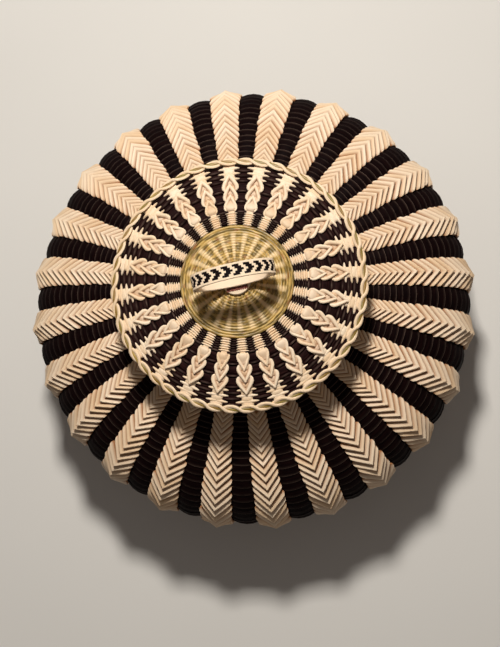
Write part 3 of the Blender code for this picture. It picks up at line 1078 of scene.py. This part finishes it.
def make_lid_bars():
    """Natural and dyed splints that show between the lid's standards."""
    kinds = ("blunt", "plain", "pointed", "spiked", "plain")
    blunt, plain, pointed, spiked, shaded = [pillow_bar(kind) for kind in kinds]
    # Painted shade on the floor bars that show between the leaves' lobes
    store_section(shaded, "painted_shade", (0.35,))
    ladder = [GRASS_R + 0.0009 + LADDER_PITCH * row for row in range(LADDER_ROWS)]
    gaps = [r + LADDER_PITCH / 2 for r in ladder]

    def strew(name, shape, finish, turn_spread, size_spread, seed, *layers):
        """Scatter bars over layers, each of them what lid_bars() takes."""
        places = [place for layer in layers for place in lid_bars(*layer)]
        return scatter(name, shape, places, finish, SEED + seed, turn_spread, size_spread)

    valleys = strew("lid_valleys", shaded, FOLDED_ASH, 0.0, 0.0, 2, (
        VALLEY_RINGS, (3.6,), (0.0038,), 0.0, 0.0009, 0.0010))
    floor = strew(
        "lid_ladder", plain, FOLDED_ASH, 0.02, 0.04, 2,
        (ladder + [0.0460], (3.7,), (0.0015,), 0.0, 0.0002, 0.0010),
        ((0.0695,) + TOOTH_RINGS[1:], (2.8,), (0.0040,), 0.0, 0.0008, 0.0011))
    barbs = strew("lid_barbs", pointed, FOLDED_ASH, 0.03, 0.06, 3, (
        ladder, (4.9, 5.15), (0.00105,), 0.0, 0.0005, 0.0013, 0.002))
    spikes = strew("lid_spikes", spiked, FOLDED_ASH, 0.03, 0.06, 3, (
        BARB_RINGS, (5.4, 5.6, 5.6), (0.0024, 0.0025, 0.0025), 0.0, 0.0008, 0.0012, 0.003))
    barbs = join(barbs, spikes)
    dyed_floor = strew(
        "lid_dyed_splints", plain, LID_DYED_ASH, 0.02, 0.05, 4,
        (WIDE_RINGS, (3.9,), (0.0052,), 0.5, 0.0001, 0.0005),
        (BARB_RINGS, (2.7,), (0.0019,), 0.5, 0.0001, 0.0007))
    knots = strew("lid_dyed_knots", blunt, LID_DYED_ASH, 0.02, 0.05, 4, (
        KNOT_RINGS, (5.3, 4.1, 4.1), (0.0017,), 0.5, 0.0006, 0.0016))
    teeth = strew(
        "lid_dyed_teeth", pointed, LID_DYED_ASH, 0.02, 0.05, 5,
        (gaps, (4.3, 4.05), (0.00105,), 0.5, 0.0006, 0.0013, 0.002),
        (TOOTH_RINGS[:1], (4.1,), (0.0018,), 0.5, 0.0008, 0.0014, 0.002),
        (TOOTH_RINGS[1:], (5.1,), (0.0020,), 0.5, 0.0008, 0.0014, 0.002))
    drop(blunt, plain, pointed, spiked, shaded)
    for made in (floor, valleys, barbs):
        settle(made, "lid", "natural_ash")
    for made in (dyed_floor, knots, teeth):
        settle(made, "lid", "dyed_ash")


def make_leaves():
    """Three folded splints along each natural column. The first is a plain heart."""
    rows = []
    for row, (tip, rise) in enumerate(zip(LEAF_TIPS, LEAF_RISES)):
        if row:
            shape = folded_leaf(0.62, 0.80, OPEN_LEAF)
        else:
            shape = folded_leaf(0.55, 0.20, HEART)
        sizes = ((tip - LEAF_NECK) * sin(LEAF_HALF), LEAF_LENGTH / 2, rise)
        r, z, nr, nz = LID_TRACK.at(lid_distance(tip - LEAF_SEAT))
        places = [spot(LID_TURN + k * PITCH, tip, z - (tip - r) * nr / nz, nr, nz, sizes)
                  for k in range(COLUMNS)]
        rows.append(scatter("lid_folds", shape, places, FOLDED_ASH, SEED + 6 + row,
                            turn_spread=0.045, size_spread=0.04))
        drop(shape)
    columns = [f"lid_points_{k + 1:02d}" for k in range(COLUMNS)]
    settle(join(*rows), "lid", "natural_ash", *columns)


def make_sweetgrass_disc():
    """Rounds of sweetgrass that ride over 24 rays, plain ones outside."""
    section = [(0.0004, dome_height(0.0) - 0.0001)]
    section += [(r, dome_height(r) + 0.0003) for r in (0.0006, 0.012, 0.024, GRASS_R)]
    section += [(GRASS_R, dome_height(GRASS_R) - 0.0001)]
    pad = turned("sweetgrass_pad", section, SWEETGRASS)
    rounds = []
    for row, radius in enumerate(evenly(0.0040, GRASS_R - 0.0008, GRASS_ROUNDS - 1)):
        middle = dome_height(radius) + 0.00036
        ride = GRASS_RIDE if row < GRASS_ROUNDS - 4 else 0.00006
        rounds.append([(around(LID_TURN + turn, radius, middle + ride * cos(COLUMNS * turn)), UP)
                       for turn in turns(COLUMNS * 5)])
    coil = sweep("sweetgrass_rounds", rounds, True, GRASS_WIDTH, GRASS_THICK, SWEETGRASS)
    settle(join(pad, coil), "lid", "sweetgrass", "lid_centre")


def make_lid_rim():
    """The rim hoop, the two strands that cross over its sweetgrass, and the collar."""
    low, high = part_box("lid_rim_hoop")
    make_hoop("lid_hoop", "lid", "lid_rim_hoop", high.x - 0.0024, high.x, low.z, high.z)
    strands = []
    for strand in range(2):
        line = []
        for angle in turns(COLUMNS * 16):
            wave = COLUMNS * (angle - LID_TURN) + pi * (strand + 0.5)
            swing = sin(wave)
            side = RIM_SWING * swing / sqrt(0.45 + 0.55 * swing * swing)
            lift = RIM_CROSSING * cos(wave)
            r = RIM_CENTRE_R + side * cos(RIM_TILT) + lift * sin(RIM_TILT)
            z = RIM_Z - side * sin(RIM_TILT) + lift * cos(RIM_TILT)
            line.append((around(angle, r, z), around(angle, sin(RIM_TILT), cos(RIM_TILT))))
        strands.append(line)
    braid = sweep("rim_braid", strands, True, 0.0021, 0.0012, FOLDED_ASH)
    settle(braid, "lid", "natural_ash", "lid_rim_braid")
    core = [(around(angle, RIM_CENTRE_R, RIM_Z - 0.0008), UP) for angle in turns(120)]
    grass = sweep("rim_sweetgrass", [core], True, 0.0034, 0.0022, RIM_GRASS)
    settle(grass, "lid", "sweetgrass")
    low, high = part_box("lid_collar")
    make_hoop("lid_collar_ash", "lid", "lid_collar", high.x - 0.0016, high.x, low.z, high.z)


# Handle

def on_handle(x, y, z):
    """Turn a point of the handle to where the handle stands."""
    c, s = cos(HANDLE_TURN), sin(HANDLE_TURN)
    return (c * x - s * y, s * x + c * y, z)


def on_oval(angle, offset, y):
    """A point of the handle's oval, offset square to it, at y of its width."""
    a = HANDLE_WIDTH / 2 - BAND_THICK - BAND_GAP
    b = (HANDLE_HEIGHT - BAND_THICK - BAND_GAP) / 2
    across, up = cos(angle), sin(angle)
    length = hypot(b * across, a * up)
    return on_handle(a * across + offset * b * across / length, y,
                     b * up + offset * a * up / length + HANDLE_FOOT_Z + b)


def make_foot_plate():
    """The round of ash that the handle is tied to."""
    bend = 0.0005
    low = dome_height(FOOT_PLATE_R) + 0.0002
    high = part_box("handle_tie")[0].z + 0.0012
    rings = []
    for inset, z in ((0.0, low), (0.0, high - bend), (0.3 * bend, high - 0.3 * bend),
                     (bend, high)):
        rings.append([on_handle(*around(angle, FOOT_PLATE_R - inset, z))
                      for angle in turns(60)])
    made = loft("handle_foot_plate", rings, 50)
    made.data.materials.append(FOLDED_ASH)
    settle(made, "lid", "natural_ash")


def make_handle_ring():
    """A broad splint bent to an oval."""
    steps = 96
    half = STRAP_WIDTH / 2
    section = hoop_section(-HANDLE_THICK, 0.0, -half, half, 0.0003)
    points = [on_oval(angle, offset, y) for angle in turns(steps) for offset, y in section]
    made = add_mesh("handle_ring_ash", points, tube_faces(steps, len(section), True), FOLDED_ASH)
    store_ribbon(made, [(k * 0.15, y / half) for k in range(steps) for offset, y in section])
    set_smooth(made, 40)
    settle(made, "lid", "natural_ash", "handle_ring")


def make_handle_band():
    """The plaited band: chevrons of dyed cells between two natural edges."""
    edges = (-0.50, -0.365, -0.219, -0.073, 0.073, 0.219, 0.365, 0.50)
    rows = list(pairwise(edges))
    cushion = [(0, 1, 2, 3), (8, 9, 10, 11)] + tube_faces(3, 4, False)
    points, faces, dyes, ribbons = [], [], [], []

    def add_cell(k, cells, row, dyed, height, inset):
        """A cushion of the band: cell k of those along a row."""
        span = BAND_RUN / cells
        first = BAND_START + span * k
        low, high = [edge * BAND_WIDTH for edge in row]
        faces.extend([[len(points) + corner for corner in face] for face in cushion])
        dyes.extend([dyed] * len(cushion))
        for lift, pull in ((0.0, 0.0), (height - 0.00012, 0.0), (height, inset)):
            start, stop = first + span * pull, first + span * (1.0 - pull)
            near, far = low + (high - low) * pull, high - (high - low) * pull
            for angle, y in ((start, near), (stop, near), (stop, far), (start, far)):
                points.append(on_oval(angle, BAND_GAP + lift, y))
                ribbons.append((angle * 4.0, y * 200.0))

    for k in range(BAND_CELLS):
        for from_middle, row in zip(range(-2, 3), rows[1:-1]):
            dyed = (k - abs(from_middle)) % 5 < 3
            height = BAND_THICK * (1.0 if dyed else 0.92)
            add_cell(k, BAND_CELLS, row, float(dyed), height, 0.16)
    for k in range(BAND_EDGE_CELLS):
        for row in (rows[0], rows[-1]):
            add_cell(k, BAND_EDGE_CELLS, row, 0.0, BAND_THICK, 0.05)
    made = add_mesh("handle_plait", points, faces, PLAIT)
    store(made, "dyed", dyes, "FACE")
    store_ribbon(made, ribbons)
    set_smooth(made, 30)
    settle(made, "lid", "natural_ash", "handle_band")


def make_handle_tie():
    """Waxed thread wound over the foot of the ring."""
    low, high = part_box("handle_tie")
    half_y = (high.y - low.y) / 2 * 0.985 - THREAD_R
    half_z = (high.z - low.z) / 2 - THREAD_R
    loops = []
    for x in evenly(-THREAD_SPREAD, THREAD_SPREAD, 10):
        line = []
        for angle in turns(24):
            c, s = cos(angle), sin(angle)
            y = half_y * copysign(abs(c) ** 0.35, c)
            z = half_z * copysign(abs(s) ** 0.6, s)
            line.append((on_handle(x + 0.0003 * c, y, (low.z + high.z) / 2 + z),
                         on_handle(0.0, c, s)))
        loops.append(line)
    made = sweep("handle_thread", loops, True, 2 * THREAD_R, 2 * THREAD_R, THREAD)
    settle(made, "lid", "dark_thread", "handle_tie")


make_folded_points()
make_dyed_slats()
make_wall()
make_mouth()
make_base()
make_lid_shell()
make_lid_bars()
make_leaves()
make_sweetgrass_disc()
make_foot_plate()
make_lid_rim()
make_handle_ring()
make_handle_band()
make_handle_tie()


# Floor, light and camera

BACKDROP = colour(0.800, 0.787, 0.765)
GREY_CARD = colour(0.620, 0.600, 0.580)
BLACK = colour(0.0, 0.0, 0.0)
FLOOR_HALF = 6.0
FLOOR_Z = -0.0002


def make_floor():
    """A pale sweep of floor that reads as plain paper.

    Rays that only light the object see a grey card in its place.
    """
    finish = Finish("pale_floor", 0.8, 0.0)
    x, y, z = finish.place()
    tint = finish.noise(x, y, z, scale=6.0)
    paper = finish.mix(tint, colour(0.86, 0.85, 0.83), colour(0.88, 0.87, 0.85))
    direct, mirrored, passed = [finish.add("ShaderNodeLightPath", outlet=ray) for ray in (
        "Is Camera Ray", "Is Glossy Ray", "Is Transmission Ray")]
    shown = finish.math("MAXIMUM", finish.math("MAXIMUM", direct, mirrored), passed)
    away = finish.math("SQRT", x * x + y * y)
    lit = finish.mix(shown, GREY_CARD, paper)
    finish.feed("Base Color", finish.mix(finish.smooth(away, 0.5, 1.6), lit, BLACK))
    glow = finish.mix(finish.smooth(away, 0.28, 1.2) * shown, BLACK, BACKDROP)
    finish.feed("Emission Color", glow)
    finish.shader.inputs["Emission Strength"].default_value = 1.0
    corners = [(-FLOOR_HALF, -FLOOR_HALF, FLOOR_Z), (FLOOR_HALF, -FLOOR_HALF, FLOOR_Z),
               (FLOOR_HALF, FLOOR_HALF, FLOOR_Z), (-FLOOR_HALF, FLOOR_HALF, FLOOR_Z)]
    add_mesh("floor", corners, [(0, 1, 2, 3)], finish.material)


def camera_axes():
    """The camera's right, up and back directions."""
    back = Vector(around(CAMERA_AZIMUTH, sin(CAMERA_TILT), cos(CAMERA_TILT)))
    level = Vector((-sin(CAMERA_AZIMUTH), cos(CAMERA_AZIMUTH), 0.0))
    rise = back.cross(level)
    right = cos(CAMERA_ROLL) * level + sin(CAMERA_ROLL) * rise
    up = -sin(CAMERA_ROLL) * level + cos(CAMERA_ROLL) * rise
    return right, up, back


def make_camera():
    right, up, back = camera_axes()
    lens = bpy.data.cameras.new("camera")
    lens.sensor_fit = "VERTICAL"
    lens.sensor_height = SENSOR_HEIGHT
    lens.lens = FOCAL_PIXELS * SENSOR_HEIGHT / IMAGE_HEIGHT
    made = add_object("camera", lens)
    place = (Vector((0.0, 0.0, WIDEST_Z)) + CAMERA_DISTANCE * back
             + CAMERA_SIDE * right + CAMERA_RISE * up)
    made.matrix_world = Matrix.Translation(place) @ Matrix((right, up, back)).transposed().to_4x4()
    bpy.context.scene.camera = made


def add_lamp(name, towards, distance, size, energy, tint):
    """A soft square lamp that lies in a direction from the basket."""
    lamp = bpy.data.lights.new(name, "AREA")
    lamp.shape = "SQUARE"
    lamp.size = size
    lamp.energy = energy
    lamp.color = tint
    made = add_object(name, lamp)
    made.location = Vector((0.0, 0.0, 0.12)) + distance * towards.normalized()
    made.rotation_euler = towards.to_track_quat("Z", "Y").to_euler()


def make_light():
    """One soft key from the top of the picture, and an even fill."""
    right, up, back = camera_axes()
    add_lamp("key", 1.3 * back - 0.17 * right + 1.0 * up, 1.0, 0.14, 11.0, (1.0, 0.955, 0.895))
    add_lamp("fill", 1.0 * back + 0.4 * right - 1.0 * up, 1.6, 1.2, 0.92, (1.0, 0.84, 0.72))
    world = bpy.data.worlds.new("studio")
    world.use_nodes = True
    tree = world.node_tree
    light = tree.nodes["Background"]
    light.inputs["Color"].default_value = (1.0, 0.92, 0.87, 1.0)
    light.inputs["Strength"].default_value = 0.10
    shown = add_node(tree, "ShaderNodeBackground", {"Color": BACKDROP})
    path = add_node(tree, "ShaderNodeLightPath")
    either = add_node(tree, "ShaderNodeMixShader",
                      {0: path.outputs["Is Camera Ray"], 1: light, 2: shown})
    tree.links.new(either.outputs[0], tree.nodes["World Output"].inputs["Surface"])
    bpy.context.scene.world = world


make_floor()
make_camera()
make_light()
bpy.context.scene.view_settings.view_transform = "Standard"
